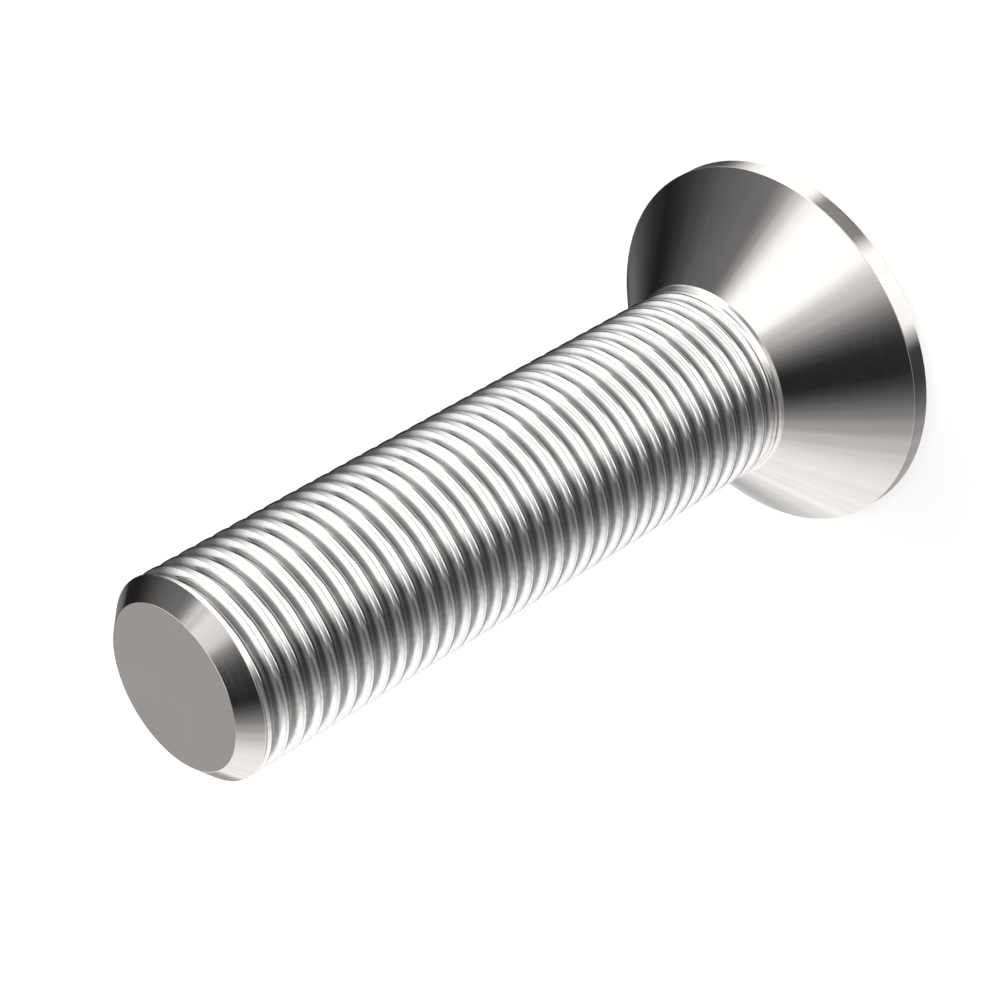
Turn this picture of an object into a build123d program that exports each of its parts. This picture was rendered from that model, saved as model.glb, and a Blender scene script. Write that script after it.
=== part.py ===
from build123d import *
import os
from math import radians, tan

# A countersunk socket screw, made in one piece: a flat conical head with a hexagon socket in its
# face, and a shank that is threaded over its whole length and chamfered at its tip. The shank is
# a plain cylinder of the thread's major diameter here.
# The screw stands on its head. The origin is the centre of the head's flat face, and +Z runs
# along the axis to the tip. Lengths are in millimetres and angles in degrees.

# Shank
thread_diameter = 10.0
screw_length = 40.0
tip_diameter = 8.2
tip_chamfer_angle = 45.0

# Head
head_diameter = 19.2
head_cone_angle = 90.0
head_rim_height = 1.0
head_edge_radius = 0.15
under_head_radius = 0.4

# Hexagon socket
socket_across_flats = 6.0
socket_depth = 4.4
socket_mouth_diameter = 7.2
socket_mouth_angle = 120.0
drill_point_angle = 120.0

thread_radius = thread_diameter / 2
tip_radius = tip_diameter / 2
head_radius = head_diameter / 2
tip_chamfer_length = (thread_radius - tip_radius) / tan(radians(tip_chamfer_angle))
head_cone_height = (head_radius - thread_radius) / tan(radians(head_cone_angle / 2))
neck_height = head_rim_height + head_cone_height


def turned_blank():
    """Head, neck and shank, turned from half of their section before the socket is punched."""
    face_edge = (head_radius, 0)
    neck = (thread_radius, neck_height)
    with BuildPart() as blank:
        with BuildSketch(Plane.XZ) as half_section:
            with BuildLine():
                Polyline(
                    (0, 0),
                    face_edge,
                    (head_radius, head_rim_height),
                    neck,
                    (thread_radius, screw_length - tip_chamfer_length),
                    (tip_radius, screw_length),
                    (0, screw_length),
                    close=True,
                )
            make_face()
            for corner, radius in ((face_edge, head_edge_radius), (neck, under_head_radius)):
                fillet(half_section.vertices().sort_by_distance((*corner, 0))[0], radius)
        revolve(axis=Axis.Z)
    return blank.part


def countersink(diameter, angle, height):
    """A solid cone that stands on the given height, point up, with this full angle."""
    depth = diameter / 2 / tan(radians(angle / 2))
    to_base = (Align.CENTER, Align.CENTER, Align.MIN)
    return Pos(0, 0, height) * Cone(diameter / 2, 0, depth, align=to_base)


def socket_hollow():
    """The space of the socket: a tapered mouth, the hexagon, and the drill point at its end."""
    hexagon = RegularPolygon(socket_across_flats / 2, 6, major_radius=False)
    mouth = countersink(socket_mouth_diameter, socket_mouth_angle, 0)
    drill_point = countersink(socket_across_flats, drill_point_angle, socket_depth)
    return extrude(hexagon, socket_depth) + mouth + drill_point


screw = turned_blank() - socket_hollow()

os.makedirs("parts", exist_ok=True)
export_step(screw, "parts/screw.step")
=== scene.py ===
# %% [markdown]
# # A countersunk socket screw
#
# A flat-head screw with a hexagon socket, an M10 x 1 fine thread and a chamfered tip, in polished
# steel. It stands on its head, which is the only way that it stays upright by itself.
#
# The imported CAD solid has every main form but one: its shank is a plain cylinder. This lesson
# models the screw again with its real thread, gives it a steel finish, and lights it as a small
# studio set.

# %% Load the solid that everything is fitted to
import bpy
import bmesh
import math
from mathutils import Matrix, Quaternion, Vector


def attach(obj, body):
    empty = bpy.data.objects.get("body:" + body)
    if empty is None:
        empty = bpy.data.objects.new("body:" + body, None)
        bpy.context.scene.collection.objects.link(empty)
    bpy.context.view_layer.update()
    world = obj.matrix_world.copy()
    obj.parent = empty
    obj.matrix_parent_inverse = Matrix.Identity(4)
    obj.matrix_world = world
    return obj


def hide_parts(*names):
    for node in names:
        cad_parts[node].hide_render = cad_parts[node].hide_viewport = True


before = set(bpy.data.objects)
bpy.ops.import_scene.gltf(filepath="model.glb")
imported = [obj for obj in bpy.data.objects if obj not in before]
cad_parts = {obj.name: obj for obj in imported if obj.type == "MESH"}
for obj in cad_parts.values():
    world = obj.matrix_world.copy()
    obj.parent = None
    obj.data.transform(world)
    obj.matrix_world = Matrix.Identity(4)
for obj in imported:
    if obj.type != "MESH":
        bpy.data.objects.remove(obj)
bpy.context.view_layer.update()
MM = 0.001
print("Packed nodes:", list(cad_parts))

# %% [markdown]
# ## The camera
#
# The lens is a long one, as catalogues use, so the screw shows little perspective. It looks at the
# middle of the screw from 35 degrees above the floor, the height of an isometric drawing. The
# camera is also rolled on its side by 120 degrees, so the standing screw runs across the picture
# from the lower left to the upper right.
#
# A camera looks along its own -Z, with +Y up in the picture. So it is first aimed with its top
# up, and then rolled about its own Z axis.

# %% Place and aim the camera
camera_place = Vector((0, -120.307, 105.071)) * MM
looked_at = Vector((-0.0322, 0, 19.998)) * MM
camera_roll = math.radians(-120.04)

camera = bpy.data.objects.new("camera", bpy.data.cameras.new("camera"))
bpy.context.scene.collection.objects.link(camera)
bpy.context.scene.camera = camera
camera.data.sensor_width = 36
camera.data.lens = 112.77
camera.data.clip_start = 10 * MM
camera.data.clip_end = 3000 * MM
upright = (looked_at - camera_place).to_track_quat("-Z", "Y")
camera.rotation_mode = "QUATERNION"
camera.rotation_quaternion = upright @ Quaternion((0, 0, 1), camera_roll)
camera.location = camera_place
print("Distance to the screw in mm:", round((looked_at - camera_place).length / MM, 1))

# %% [markdown]
# ## Small helpers for modelling
#
# Blender's operators act on what is selected, as they do by hand. Before each one, the lesson
# clears the selection and then picks vertices or edges by where they are. Places are compared with
# a small tolerance, because they are rounded numbers. The loading leaves the CAD solid selected, so
# an operator that is used at once would change that too.

# %% Select by place
def only(thing):
    """Makes one object the only selected and the active one."""
    if bpy.context.mode != "OBJECT":
        bpy.ops.object.mode_set(mode="OBJECT")
    bpy.ops.object.select_all(action="DESELECT")
    thing.select_set(True)
    bpy.context.view_layer.objects.active = thing


def pick(kind, wanted):
    """In edit mode, selects just the vertices or edges that the test wanted(item) keeps."""
    bpy.ops.mesh.select_mode(type={"verts": "VERT", "edges": "EDGE"}[kind])
    bpy.ops.mesh.select_all(action="DESELECT")
    mesh = bmesh.from_edit_mesh(bpy.context.edit_object.data)
    chosen = [item for item in getattr(mesh, kind) if wanted(item)]
    for item in chosen:
        item.select_set(True)
    mesh.select_flush_mode()
    bmesh.update_edit_mesh(bpy.context.edit_object.data)
    return len(chosen)


def from_axis(point):
    """How far a point is from the screw's axis."""
    return math.hypot(point.x, point.y)


same_place = 1e-3 * MM
same_height = 1e-4 * MM
print("Still selected after loading:", [thing.name for thing in bpy.context.selected_objects])

# %% [markdown]
# ## The sizes
#
# The screw has the sizes of the CAD solid, so it fills the same box and fits the same hole. The
# corners of its turned outline are worked out from them, each as (distance from the axis, height).
# The thread lies between the fillet under the head and the edge of the tip's chamfer.

# %% Set out the outline
thread_radius = 5.0 * MM
screw_length = 40 * MM
tip_radius = 4.1 * MM
head_radius = 9.6 * MM
rim_height = 1.0 * MM
under_head_radius = 0.4 * MM
head_edge_radius = 0.15 * MM
edge_break = 0.035 * MM
chamfer_clearance = 0.04 * MM

shank_corner = (thread_radius, screw_length - (thread_radius - tip_radius))
tip_corner = (tip_radius, screw_length)
neck_corner = (thread_radius, rim_height + head_radius - thread_radius)
rim_corner = (head_radius, rim_height)
face_corner = (head_radius, 0)
fillet_run = under_head_radius * math.tan(math.radians(45 / 2))
thread_foot = neck_corner[1] + fillet_run
thread_top = shank_corner[1] - chamfer_clearance
print("Threaded from", round(thread_foot / MM, 3), "to", round(thread_top / MM, 3), "mm up")

# %% [markdown]
# ## The thread
#
# A metric thread is a V-shaped groove, 60 degrees wide, wound round the shank like a staircase.
# Rolling dies press it in, which pushes the steel up into the crests between the turns. They leave
# a flat on the crest, here a quarter of the pitch wide, and a rounded root, which keeps the screw
# from cracking there. On a fine M10 thread each turn climbs 1 mm.
#
# It could be a bump on a cylinder, but a bump has no edges that catch the light. So it is made as
# a lathe would cut it: one pitch of its outline is drawn as a line of points, and the Screw
# modifier winds that line round the axis. First a plane is merged to a single point, and the point
# is pulled out into the outline of one groove.

# %% Draw one pitch of the outline
pitch = 1.0 * MM
half_groove_angle = math.radians(30)
crest_flat = pitch / 4
groove_half = (pitch - crest_flat) / 2
sharp_depth = groove_half / math.tan(half_groove_angle)
lead_in = 1.6 * pitch
outline_foot = thread_foot - lead_in

bpy.ops.mesh.primitive_plane_add(size=MM, location=(thread_radius, 0, outline_foot))
screw = bpy.context.object
screw.name = "threaded_screw"
bpy.ops.object.transform_apply()
only(screw)
bpy.ops.object.mode_set(mode="EDIT")
bpy.ops.mesh.select_all(action="SELECT")
bpy.ops.mesh.merge(type="CENTER")
for across, up in (
    (0, crest_flat / 2),
    (-sharp_depth, groove_half),
    (sharp_depth, groove_half),
    (0, crest_flat / 2),
):
    bpy.ops.mesh.extrude_vertices_move(TRANSFORM_OT_translate={"value": (across, 0, up)})
print("One groove is", round(2 * groove_half / MM, 3), "mm wide at the crest")

# %% [markdown]
# The corners are rounded with the bevel tool, which works on the points of a line as well as on
# edges: widely in the root, and slightly on both sides of the crest. The two straight flanks are
# then divided into four, because an edge with no points between its ends couldn't bend where the
# groove runs out.

# %% Round the outline's corners
root_radius = 0.165 * pitch
root_bevel_shape = 0.445
crest_rounding = 0.03 * MM


def at_depth(depth):
    """A test for outline vertices that lie this deep under the crest."""
    return lambda v: abs(thread_radius - v.co.x - depth) < same_place


root_cut = root_radius / math.tan(half_groove_angle)
pick("verts", at_depth(sharp_depth))
bpy.ops.mesh.bevel(offset=root_cut, segments=4, affect="VERTICES", profile=root_bevel_shape)
pick("verts", lambda v: at_depth(0)(v) and len(v.link_edges) == 2)
bpy.ops.mesh.bevel(offset=crest_rounding, segments=2, affect="VERTICES")
flanks = pick("edges", lambda e: e.calc_length() > crest_flat)
bpy.ops.mesh.subdivide(number_cuts=3)
bpy.ops.object.mode_set(mode="OBJECT")
groove_depth = max(thread_radius - v.co.x for v in screw.data.vertices)
print("Outline:", len(screw.data.vertices), "points,", flanks, "flanks")
print("The groove is", round(groove_depth / MM, 4), "mm deep")

# %% [markdown]
# The Screw modifier turns the outline about Z and lifts it by one pitch on each turn. Anticlockwise
# and up, seen from the tip, is a right-hand thread. Each turn ends where the next one starts, so
# the doubled points along that seam are merged. The strip is wound longer than needed at both
# ends, and bisected flat where the tip's chamfer and the neck begin.

# %% Wind the outline into a thread
spare_turns = 2
turns = math.ceil((thread_top - thread_foot) / pitch) + spare_turns
winding_steps = 96
winding = screw.modifiers.new("thread", "SCREW")
winding.axis = "Z"
winding.screw_offset = pitch
winding.iterations = turns
winding.steps = winding_steps
winding.render_steps = winding_steps
winding.use_normal_calculate = True
bpy.ops.object.modifier_apply(modifier=winding.name)
bpy.ops.object.mode_set(mode="EDIT")
bpy.ops.mesh.select_all(action="SELECT")
bpy.ops.mesh.remove_doubles(threshold=same_place)
for height, below in ((thread_foot, True), (thread_top, False)):
    bpy.ops.mesh.select_all(action="SELECT")
    bpy.ops.mesh.bisect(
        plane_co=(0, 0, height),
        plane_no=(0, 0, 1),
        clear_inner=below,
        clear_outer=not below,
        threshold=same_height,
    )
bpy.ops.object.mode_set(mode="OBJECT")
print("Turns:", turns, "faces:", len(screw.data.polygons))

# %% [markdown]
# A thread can't stop dead. At the tip it begins on the chamfer's edge, and at the neck the groove
# runs out where the die lets go. Both are the same move: near each end the groove gets shallower
# until its points lie on the full 5 mm radius, so that each end is a true circle.
#
# The Cast modifier pulls points towards a cylinder, as strongly as their weight in a vertex group
# says. So the fade is painted as weights, by height.

# %% Let the groove run out at both ends
tip_run_out = 0.35 * MM
neck_run_out = 0.6 * MM


def smooth(x):
    """Rises softly from 0 to 1 as x does, and stays there."""
    x = min(max(x, 0), 1)
    return x * x * (3 - 2 * x)


run_out = screw.vertex_groups.new(name="run_out")
for v in screw.data.vertices:
    from_ends = min((thread_top - v.co.z) / tip_run_out, (v.co.z - thread_foot) / neck_run_out)
    if from_ends < 1:
        run_out.add([v.index], 1 - smooth(from_ends), "REPLACE")
cast = screw.modifiers.new("run out", "CAST")
cast.cast_type = "CYLINDER"
cast.use_radius_as_size = False
cast.size = thread_radius
cast.factor = 1
cast.vertex_group = run_out.name
bpy.ops.object.modifier_apply(modifier=cast.name)
screw.vertex_groups.clear()
ring = [from_axis(v.co) / MM for v in screw.data.vertices if abs(v.co.z - thread_top) < same_height]
print("Ring at the chamfer: radius", round(min(ring), 4), "to", round(max(ring), 4), "mm")

# %% [markdown]
# ## Tip, neck and head
#
# The rest of the outside is turned work: every section is a circle. The thread's own end rings are
# pulled out into it, one ring at a time, so head, thread and tip are one closed skin with no seam.
# A ring is pulled from station to station along the outline that was set out above. Where a corner
# is rounded, the stations follow its arc, and one more ring just beside each arc keeps the flat or
# the cone next to it straight under smooth shading.

# %% Round the turned corners
def rounded(before, corner, after, radius, steps):
    """Stations of an arc that rounds a corner of the outline, which comes from the point before it
    and goes on to the point after it, with one station just ahead of the arc and one just past it.
    Every point is (distance from the axis, height)."""
    corner = Vector(corner)
    back, on = (Vector(before) - corner).normalized(), (Vector(after) - corner).normalized()
    half = back.angle(on) / 2
    run = radius / math.tan(half)
    middle = corner + (back + on).normalized() * radius / math.sin(half)
    start, end = corner + back * run - middle, corner + on * run - middle
    turn = start.angle_signed(end)
    arc = [middle + Matrix.Rotation(-turn * k / steps, 2) @ start for k in range(steps + 1)]
    return [arc[0] + back * edge_break / 2, *arc, arc[-1] + on * edge_break / 2]


shank_end = rounded((thread_radius, thread_top), shank_corner, tip_corner, edge_break, 2)
tip_edge = rounded(shank_corner, tip_corner, (0, screw_length), edge_break, 3)
neck_fillet = rounded((thread_radius, thread_foot), neck_corner, rim_corner, under_head_radius, 4)
rim_edge = rounded(neck_corner, rim_corner, face_corner, edge_break, 3)
head_edge = rounded(rim_corner, face_corner, (0, 0), head_edge_radius, 4)
print("Neck fillet, stations in mm:", [(round(r / MM, 3), round(z / MM, 3)) for r, z in neck_fillet])

# %% [markdown]
# Each end of the thread is an open ring of edges. Most of its points stand on the thread's 96 steps
# round the axis. Where a row of the thread's points crosses the cut, there is an odd one between
# two steps, which has to go before a smooth cone can be pulled out.

# %% Find the thread's end rings
step_tolerance = 0.01


def open_ring(height):
    """A test for the edges of the open ring at a height."""
    return lambda e: e.is_boundary and all(abs(v.co.z - height) < same_height for v in e.verts)


def off_step(v):
    """Whether a vertex of an open ring lies between two of the thread's steps round the axis."""
    steps = math.atan2(v.co.y, v.co.x) / math.tau * winding_steps
    return v.is_boundary and abs(steps - round(steps)) > step_tolerance


only(screw)
bpy.ops.object.mode_set(mode="EDIT")
for height in (thread_foot, thread_top):
    print("Edges in the ring at", round(height / MM, 2), "mm:", pick("edges", open_ring(height)))
print("Odd points in both rings:", pick("verts", off_step))

# %% Pull out the chamfered tip
def pull_ring(stations):
    """In edit mode, extrudes the selected ring of edges to each (distance, height) in turn."""
    mesh = bmesh.from_edit_mesh(bpy.context.edit_object.data)
    at = next(v.co for v in mesh.verts if v.select)
    here = Vector((from_axis(at), at.z))
    for there in stations:
        bpy.ops.mesh.extrude_edges_move(TRANSFORM_OT_translate={"value": (0, 0, there[1] - here[1])})
        grow = there[0] / here[0]
        bpy.ops.transform.resize(value=(grow, grow, 1), center_override=(0, 0, 0))
        here = Vector(there)


def pull_thread_end(height, stations):
    """Extrudes the thread's end ring through a rounded corner. The ring itself stands for the first
    two stations. Its odd points are dissolved from the first new ring, so that all rings after it
    have the same even facets."""
    pick("edges", open_ring(height))
    pull_ring(stations[2:3])
    pick("verts", off_step)
    bpy.ops.mesh.dissolve_verts()
    print("Points in the even ring:", pick("edges", open_ring(stations[2][1])))
    pull_ring(stations[3:])


pull_thread_end(thread_top, shank_end)
pull_ring(tip_edge)
bpy.ops.mesh.edge_face_add()

# %% Pull out the neck, the cone, the rim and the face
pull_thread_end(thread_foot, neck_fillet)
pull_ring(rim_edge)
pull_ring(head_edge)
bpy.ops.mesh.edge_face_add()
bpy.ops.mesh.select_all(action="SELECT")
bpy.ops.mesh.normals_make_consistent(inside=False)
bpy.ops.object.mode_set(mode="OBJECT")
print("Blank in mm:", [round(x / MM, 3) for x in screw.dimensions])

# %% [markdown]
# ## The hexagon socket
#
# A punch drives the hexagon into the cold head. Before it, a drill leaves a shallow cone at the
# mouth, so the hexagon's corners start cleanly, and a pointed bottom. The lesson joins the three
# shapes into one tool and takes that away from the head, both with a Boolean modifier. The shapes
# reach a little past the surfaces that they cut, because two faces in one plane confuse a Boolean.

# %% Make the punch
across_flats = 6.0 * MM
socket_depth = 4.4 * MM
beyond = 0.5 * MM

flats = 6
half_side_angle = math.pi / flats
corner_radius = across_flats / 2 / math.cos(half_side_angle)
bpy.ops.mesh.primitive_circle_add(
    vertices=flats,
    radius=corner_radius,
    fill_type="NGON",
    location=(0, 0, -beyond),
    rotation=(0, 0, half_side_angle),
)
punch = bpy.context.object
only(punch)
bpy.ops.object.mode_set(mode="EDIT")
bpy.ops.mesh.select_all(action="SELECT")
bpy.ops.mesh.extrude_region_move(TRANSFORM_OT_translate={"value": (0, 0, beyond + socket_depth)})
bpy.ops.mesh.select_all(action="SELECT")
bpy.ops.mesh.normals_make_consistent(inside=False)
bpy.ops.object.mode_set(mode="OBJECT")
print("Punch in mm:", [round(x / MM, 3) for x in punch.dimensions])

# %% Cut the socket
mouth_radius = 3.6 * MM
drill_slack = 0.02 * MM
drill_slope = math.tan(math.radians(30))
drill_steps = winding_steps


def pointed_drill(radius, height):
    """The cone of a drill's point, on the axis, with its base at a height and its point above it."""
    depth = radius * drill_slope
    bpy.ops.mesh.primitive_cone_add(
        vertices=drill_steps, radius1=radius, radius2=0, depth=depth, location=(0, 0, height + depth / 2)
    )
    return bpy.context.object


def combine(body, tool, how):
    """Adds the tool's shape to the body or cuts it out, then deletes the tool."""
    only(body)
    step = body.modifiers.new("step", "BOOLEAN")
    step.operation = how
    step.solver = "EXACT"
    step.object = tool
    bpy.ops.object.modifier_apply(modifier=step.name)
    bpy.data.objects.remove(tool)


combine(punch, pointed_drill(mouth_radius + beyond / drill_slope, -beyond), "UNION")
combine(punch, pointed_drill(across_flats / 2 - drill_slack, socket_depth - drill_slack), "UNION")
combine(screw, punch, "DIFFERENCE")
drill_point = max(v.co.z for v in screw.data.vertices if from_axis(v.co) < same_place)
print("The drill's point is", round(drill_point / MM, 3), "mm deep")

# %% [markdown]
# The Booleans leave a few doubled points. They are merged, and the faces are shaded smooth except
# where they meet at more than 35 degrees. Weighted normals then let the large flats and cones rule
# the shading at their edges, so that only the small rounded edges between them bend the light.

# %% Clean the mesh and smooth it
sharpest_smooth = math.radians(35)
only(screw)
bpy.ops.object.mode_set(mode="EDIT")
bpy.ops.mesh.select_all(action="SELECT")
bpy.ops.mesh.remove_doubles(threshold=same_place)
bpy.ops.mesh.normals_make_consistent(inside=False)
bpy.ops.object.mode_set(mode="OBJECT")
bpy.ops.object.shade_smooth_by_angle(angle=sharpest_smooth)
weighted = screw.modifiers.new("flat faces rule", "WEIGHTED_NORMAL")
weighted.mode = "FACE_AREA"
weighted.weight = 80
weighted.keep_sharp = True
bpy.ops.object.modifier_apply(modifier=weighted.name)
print("Screw:", len(screw.data.vertices), "points,", len(screw.data.polygons), "faces")
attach(screw, "root")
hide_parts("screw")

# %% [markdown]
# ## A helper for shader maths
#
# A finish is a small calculation that Blender repeats at every point of a surface. Written as
# nodes it becomes a long chain, so one class wraps a node's socket and lets Python's own operators
# add the Math nodes. `1 - edge * 0.5` then reads as what it is, and adds two of them.

# %% Write nodes as sums
class Wire:
    """A socket of a node tree, on which Python's operators add Math nodes."""

    def __init__(self, tree, socket=None):
        self.tree, self.socket = tree, socket

    def node(self, kind, settings=None, values=None, output=0):
        """Adds any node: its settings first, then what its sockets hold, a value or a wire."""
        made = self.tree.nodes.new(kind)
        for name, value in (settings or {}).items():
            setattr(made, name, value)
        for name, value in (values or {}).items():
            if isinstance(value, Wire):
                self.tree.links.new(value.socket, made.inputs[name])
            else:
                made.inputs[name].default_value = value
        return Wire(self.tree, made.outputs[output])

    def math(self, operation, *values):
        return self.node("ShaderNodeMath", {"operation": operation}, dict(enumerate(values)))

    def __add__(self, other):
        return self.math("ADD", self, other)

    def __sub__(self, other):
        return self.math("SUBTRACT", self, other)

    def __rsub__(self, other):
        return self.math("SUBTRACT", other, self)

    def __mul__(self, other):
        return self.math("MULTIPLY", self, other)

    __radd__, __rmul__ = __add__, __mul__

    def rise(self, start, end):
        """0 below start, 1 past end, and a smooth slope between them."""
        spread = {"From Min": start, "From Max": end, "Value": self}
        return self.node("ShaderNodeMapRange", {"interpolation_type": "SMOOTHSTEP"}, spread)

    def toward(self, other, share):
        """This wire where the share is 0 and the other one where it is 1."""
        return self + (other - self) * share

    def blend(self, first, second):
        """A colour that is the first where this wire is 0 and the second where it is 1."""
        return self.node("ShaderNodeMix", {"data_type": "RGBA"}, {0: self, 6: first, 7: second}, output=2)

    def parts(self):
        """The X, Y and Z of a vector, as three wires."""
        apart = self.node("ShaderNodeSeparateXYZ", values={0: self}).socket.node
        return [Wire(self.tree, out) for out in apart.outputs]


trial = bpy.data.node_groups.new("trial", "ShaderNodeTree")
edge = Wire(trial).node("ShaderNodeTexNoise")
half_dimmed = 1 - edge * 0.5
print("1 - edge * 0.5 adds:", [node.operation for node in trial.nodes if node.type == "MATH"])
print("Its value leaves the last one:", half_dimmed.socket.node.operation)
bpy.data.node_groups.remove(trial)

# %% [markdown]
# ## Polished steel
#
# Bare steel is a mirror that swallows about a third of the light. Its colour in a picture is
# nearly all reflection, so a metal looks flat unless there is something light and something dark
# around it. The finish says how clean the mirror is, and where, and paints shade into the roots.
#
# - Turned faces are a slightly warm grey that varies softly, in clouds. The rolled thread is a
#   little more neutral, and its roots are painted darker: mostly painted shade, partly a duller skin.
# - Turning and rolling both leave fine rings round the axis. A noise that knows only the distance
#   from the axis and the height gives the same value all the way round, so it makes such rings. A
#   Bump node with a very small height makes them thin ridges.
#
# An image could hold all this, but it would need the mesh unwrapped. Worked out from the place of
# each point, the finish fits by itself and has no seam.

# %% Start and end a material
def new_material(name):
    """A node material with no nodes yet, and a wire to start from."""
    material = bpy.data.materials.new(name)
    material.use_nodes = True
    material.node_tree.nodes.clear()
    return material, Wire(material.node_tree)


def show(shader, output="ShaderNodeOutputMaterial"):
    """Joins the last shader to the tree's output and says how many nodes it took."""
    tree = shader.tree
    tree.links.new(shader.socket, tree.nodes.new(output).inputs["Surface"])
    print("Nodes in the tree:", len(tree.nodes))


steel, wire = new_material("polished_steel")
print("Material:", steel.name)

# %% Mix the steel's colour
steel_light, steel_dark = (0.77, 0.742, 0.72, 1), (0.71, 0.684, 0.664, 1)
thread_colour, root_skin_and_shade = (0.76, 0.75, 0.74, 1), (0.26, 0.256, 0.25, 1)
cloud_scale = 350
place = wire.node("ShaderNodeTexCoord", output="Object")
cloud = wire.node("ShaderNodeTexNoise", values={"Vector": place, "Scale": cloud_scale, "Detail": 3})
turned = cloud.blend(steel_dark, steel_light)

x, y, z = place.parts()
radius = wire.math("SQRT", x * x + y * y) * (1 / MM)
height = z * (1 / MM)
depth = thread_radius / MM - radius
foot, top = thread_foot / MM, thread_top / MM
in_thread = height.rise(foot, foot + 0.4) * (1 - height.rise(top - 0.25, top - 0.05))
in_thread = in_thread * (1 - depth.rise(0.75, 0.8))  # the socket's point is as high, but deeper
# painted shade: the thread's roots get a much darker colour, partly also a duller skin
in_root = in_thread * depth.rise(0.18, 0.36)
colour = in_root.blend(in_thread.blend(turned, thread_colour), root_skin_and_shade)
print("Nodes in the colour:", len(steel.node_tree.nodes))

# %% Add the rings and polish it
ring_scale = 5
ridge_height = 0.0003 * MM
round_axis = wire.node("ShaderNodeCombineXYZ", values={0: radius, 1: height})
rings = wire.node(
    "ShaderNodeTexNoise",
    {"noise_dimensions": "2D"},
    {"Vector": round_axis, "Scale": ring_scale, "Detail": 3},
)
ridges = wire.node("ShaderNodeBump", values={"Strength": 1, "Distance": ridge_height, "Height": rings})
shine = wire.node(
    "ShaderNodeBsdfPrincipled",
    values={
        "Base Color": colour,
        "Metallic": 1,
        "Roughness": 0.06 + 0.05 * cloud + 0.04 * rings,
        "Normal": ridges,
    },
)
show(shine)
screw.data.materials.clear()
screw.data.materials.append(steel)

# %% [markdown]
# ## The studio
#
# The floor is white and so is everything behind it. The white comes from the materials, not from
# more light: the floor glows a little by itself, and the rest of its brightness is lamp light,
# which the screw's shadow takes away. Far from the lamp there is less of that light, so the glow
# rises with the distance, and the floor's end stays as white as the world behind it.

# %% Lay the floor
floor_radius = 800 * MM
floor_border = 500 * MM
lamp_fades = (100 * MM, 600 * MM)
glow_near, glow_far = (0.72, 0.72, 0.72, 1), (0.84, 0.84, 0.84, 1)

bpy.ops.mesh.primitive_circle_add(vertices=64, radius=floor_radius, fill_type="NGON")
floor = bpy.context.object
floor.name = "floor"
bpy.ops.object.mode_set(mode="EDIT")
bpy.ops.mesh.select_all(action="SELECT")
bpy.ops.mesh.inset(thickness=floor_border)
bpy.ops.object.mode_set(mode="OBJECT")
floor_paint, wire = new_material("floor_white")
lit = wire.node("ShaderNodeBsdfDiffuse", values={"Color": (0.4, 0.4, 0.4, 1)})
x, y = wire.node("ShaderNodeTexCoord", output="Object").parts()[:2]
glow_colour = wire.math("SQRT", x * x + y * y).rise(*lamp_fades).blend(glow_near, glow_far)
glow = wire.node("ShaderNodeEmission", values={"Color": glow_colour, "Strength": 1})
show(wire.node("ShaderNodeAddShader", values={0: lit, 1: glow}))
floor.data.materials.append(floor_paint)
floor.visible_glossy = False

# %% Hang the lamp
key = bpy.data.objects.new("key", bpy.data.lights.new("key", "AREA"))
bpy.context.scene.collection.objects.link(key)
key.data.size = 400 * MM
key.data.energy = 1.8
key.location = Vector((250, 100, 500)) * MM
key_aim = Vector((0, 0, 10)) * MM
key.rotation_mode = "QUATERNION"
key.rotation_quaternion = (key_aim - key.location).to_track_quat("-Z", "Y")
key.visible_glossy = False
print("The lamp hangs", round(key.location.length, 2), "m from the screw's foot")

# %% [markdown]
# ## What the steel mirrors
#
# The camera sees plain white round the screw, but mirror rays see a dark room with bright panels.
# A photographer would build it from cards and softboxes, each put where one face of the metal sees
# it. Here it is painted on the world, by direction, which needs no stands and casts no shadows.
# Mirror rays don't see the floor or the lamp, so that the panels alone shape the steel.
#
# A direction is read in two ways. `page` is an angle in degrees about an upright spine behind the
# set, like the pages of an open book. A page is a straight highlight along the cone, and the same
# one along the whole thread. `z` and `steep` say how far the ray climbs, `z` by itself and `steep`
# against its distance from the spine. Each kind of face sees its own strip of them.

# %% Read the directions
spine = 0.816
world = bpy.data.worlds.new("studio")
bpy.context.scene.world = world
world.use_nodes = True
world.node_tree.nodes.clear()
wire = Wire(world.node_tree)
x, y, z = wire.node("ShaderNodeTexCoord", output="Generated").parts()
page = wire.math("ARCTAN2", 0 - x, spine - y) * (180 / math.pi)
reach = wire.math("SQRT", x * x + (spine - y) * (spine - y))
steep = z - reach


def panel(brightness, left_edge, right_edge=None):
    """A bright stretch of pages. Each soft edge runs between two angles. With no right edge, the
    panel goes on round the back."""
    lit = page.rise(*left_edge)
    if right_edge:
        lit = lit * (1 - page.rise(*right_edge))
    return brightness * lit


print("Nodes that read the direction:", len(world.node_tree.nodes))

# %% [markdown]
# The cone and the chamfer mirror the front of the room. It is nearly black, which gives the steel
# its depth, with a dim card far on the left. The key panel stands next to the card, is dimmer
# higher up and fades out to the right. Right of the dark that follows, a side panel goes on round
# the back.

# %% Light the front, for the cone and the chamfer
key_fade = 1 - page.rise(-7.5, 24.2)
bright_part = 0.45 * (1 - page.rise(-9, -3.5))
key_panel = page.rise(-43.5, -23.5) * (key_fade * key_fade + bright_part)
upper_light = panel(0.75, (-42, -22)) * (1 - panel(0.6, (-16, 8)))
key_panel = key_panel * (1 - z.rise(0.74, 0.78) * (1 - upper_light))
key_panel = key_panel * (1 - steep.rise(-0.6, -0.5) * (0.5 - 0.27 * key_panel))
dim_card = 0.016 + panel(0.16, (-86, -46), (-30, -10))
front = dim_card + key_panel + panel(1.1, (26, 75))
print("Nodes with the front:", len(world.node_tree.nodes))

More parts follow.
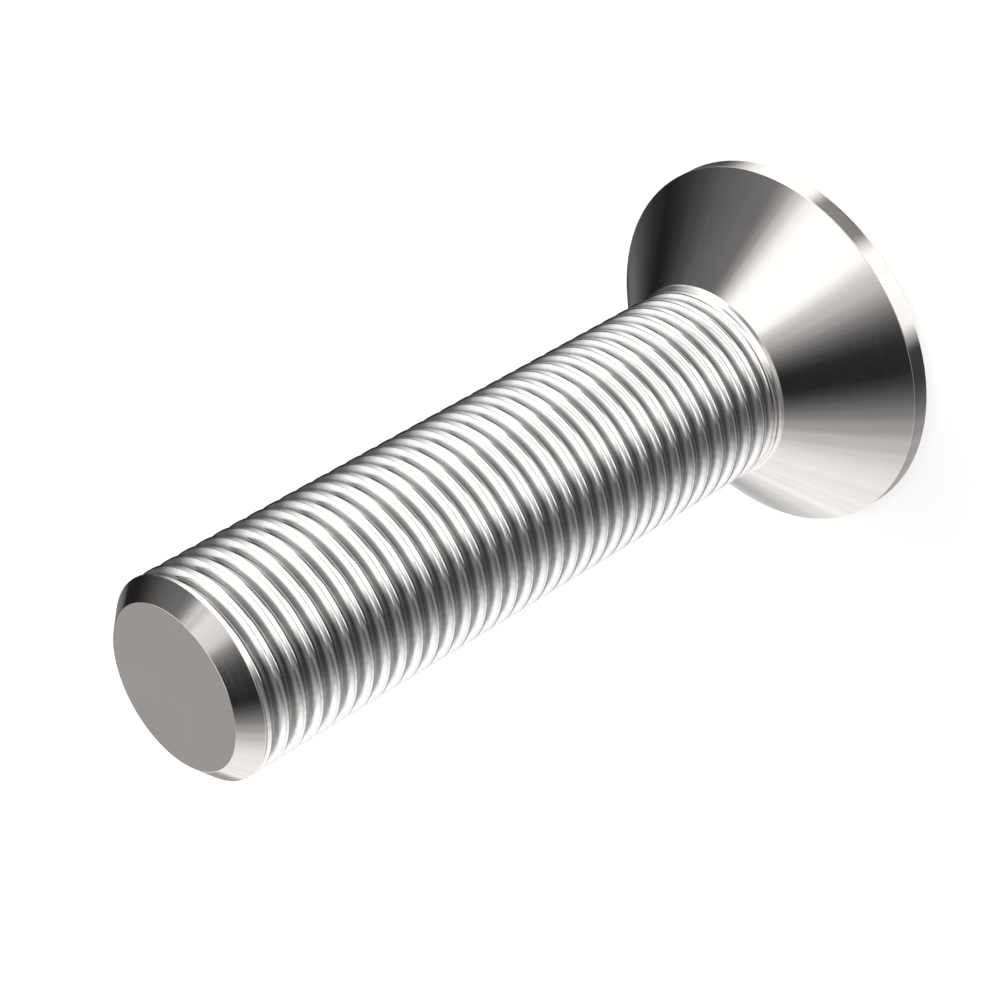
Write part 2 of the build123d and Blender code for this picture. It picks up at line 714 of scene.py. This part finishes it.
# %% [markdown]
# A low strip of the wall behind the camera lights the rounded roots and crests. The ceiling lights
# the thread's flanks, left and right of a dark gap, and a plain grey patch overhead lights the
# tip's flat.

# %% Light the wall, the ceiling and the patch overhead
wall = 0.25 + panel(0.6, (-80, -62), (8, 28)) + panel(0.95, (34, 62))
wall = wall + panel(1.3, (-60, -46), (-38, -26)) - panel(0.43, (-28, -18), (-8, 2))
ceiling = 0.13 + panel(1.25, (-80, -54), (14, 28)) + panel(1.2, (34, 64))
overhead = 0.415
print("Nodes with the wall and the ceiling:", len(world.node_tree.nodes))

# %% [markdown]
# The floor is seen in three strips: by the rim close to the screw, by the crests further out, and
# by the outer parts of the cone and the low sides of the grooves furthest out. All have a broad
# panel on the left, with a dark gap in the near strip. On the right, the far strip is the brightest.

# %% Light the floor in three strips
floor_tone = 0.03 + panel(0.09, (-85, -75)) + panel(1.5, (-72, -41), (-1, 19))
floor_tone = floor_tone + 0.18 * (1 - page.rise(-118, -90))
mid_floor = floor_tone + panel(0.26, (30, 52)) + panel(0.25, (58, 88))
far_floor = floor_tone + panel(0.5, (-50, -36), (4, 16)) + panel(0.14, (6, 18))
far_floor = far_floor + panel(1.02, (28, 62)) - panel(0.88, (84, 114))
near_floor = 0.05 + panel(1.35, (-63, -49), (13, 23)) * (1 - panel(0.88, (-34, -27), (-15, -7)))
near_floor = near_floor + panel(0.42, (30, 56)) * (1 - panel(0.4, (60, 84))) + panel(0.4, (84, 96))
print("Nodes with the floor:", len(world.node_tree.nodes))

# %% [markdown]
# The strips are joined, each with a soft edge that runs between two values of `steep` or `z`. Faint
# streaks along the pages then make the panels a little uneven, as cloth and cards are. Beyond the
# spine the two ends of the book meet, so both fade to one even tone there.

# %% Say where the strips meet
front_edge = (-0.96, -0.80)
ceiling_edge = (-0.40, -0.28)
overhead_edge = (0.18, 0.32)
near_edge = (-0.668, -0.648)
far_edge = (-0.54, -0.48)
wall_foot = (-0.14, -0.06)
horizon = (0.06, 0.14)
even_tone = 0.35
meets = [round(-math.degrees(math.asin(sum(edge) / 2)), 1) for edge in (near_edge, far_edge, wall_foot)]
print("The floor's strips meet at these degrees below the horizon:", meets)

# %% Join the strips
is_above = z.rise(*horizon)
tone = wall.toward(front, steep.rise(*front_edge))
tone = tone.toward(mid_floor.toward(far_floor, z.rise(*far_edge)), 1 - z.rise(*wall_foot))
tone = tone.toward(near_floor, 1 - z.rise(*near_edge))
tone = tone.toward(ceiling, steep.rise(*ceiling_edge) * is_above)
streaks = wire.node(
    "ShaderNodeTexNoise",
    {"noise_dimensions": "1D"},
    {"W": page, "Scale": 0.3, "Detail": 3},
)
tone = tone * (0.8 + 0.4 * streaks)
beyond_spine = page.rise(128, 176) + 1 - page.rise(-176, -128)
tone = tone.toward(even_tone, beyond_spine)
tone = tone.toward(overhead, steep.rise(*overhead_edge) * is_above)
print("Nodes with the strips joined:", len(world.node_tree.nodes))

# %% [markdown]
# Last, the tone goes to mirror rays alone. The camera sees white, and the soft light that the world
# gives to matt surfaces is half of that.

# %% Show it to mirror rays
rays = wire.node("ShaderNodeLightPath").socket.node.outputs
mirrored, diffused = (Wire(world.node_tree, rays[name]) for name in ("Is Glossy Ray", "Is Diffuse Ray"))
strength = mirrored * tone + (1 - mirrored) * (1 - 0.5 * diffused)
sky = wire.node("ShaderNodeBackground", values={"Color": (1, 1, 1, 1), "Strength": strength})
show(sky, "ShaderNodeOutputWorld")

# %% Finish
bpy.context.scene.view_settings.view_transform = "Standard"
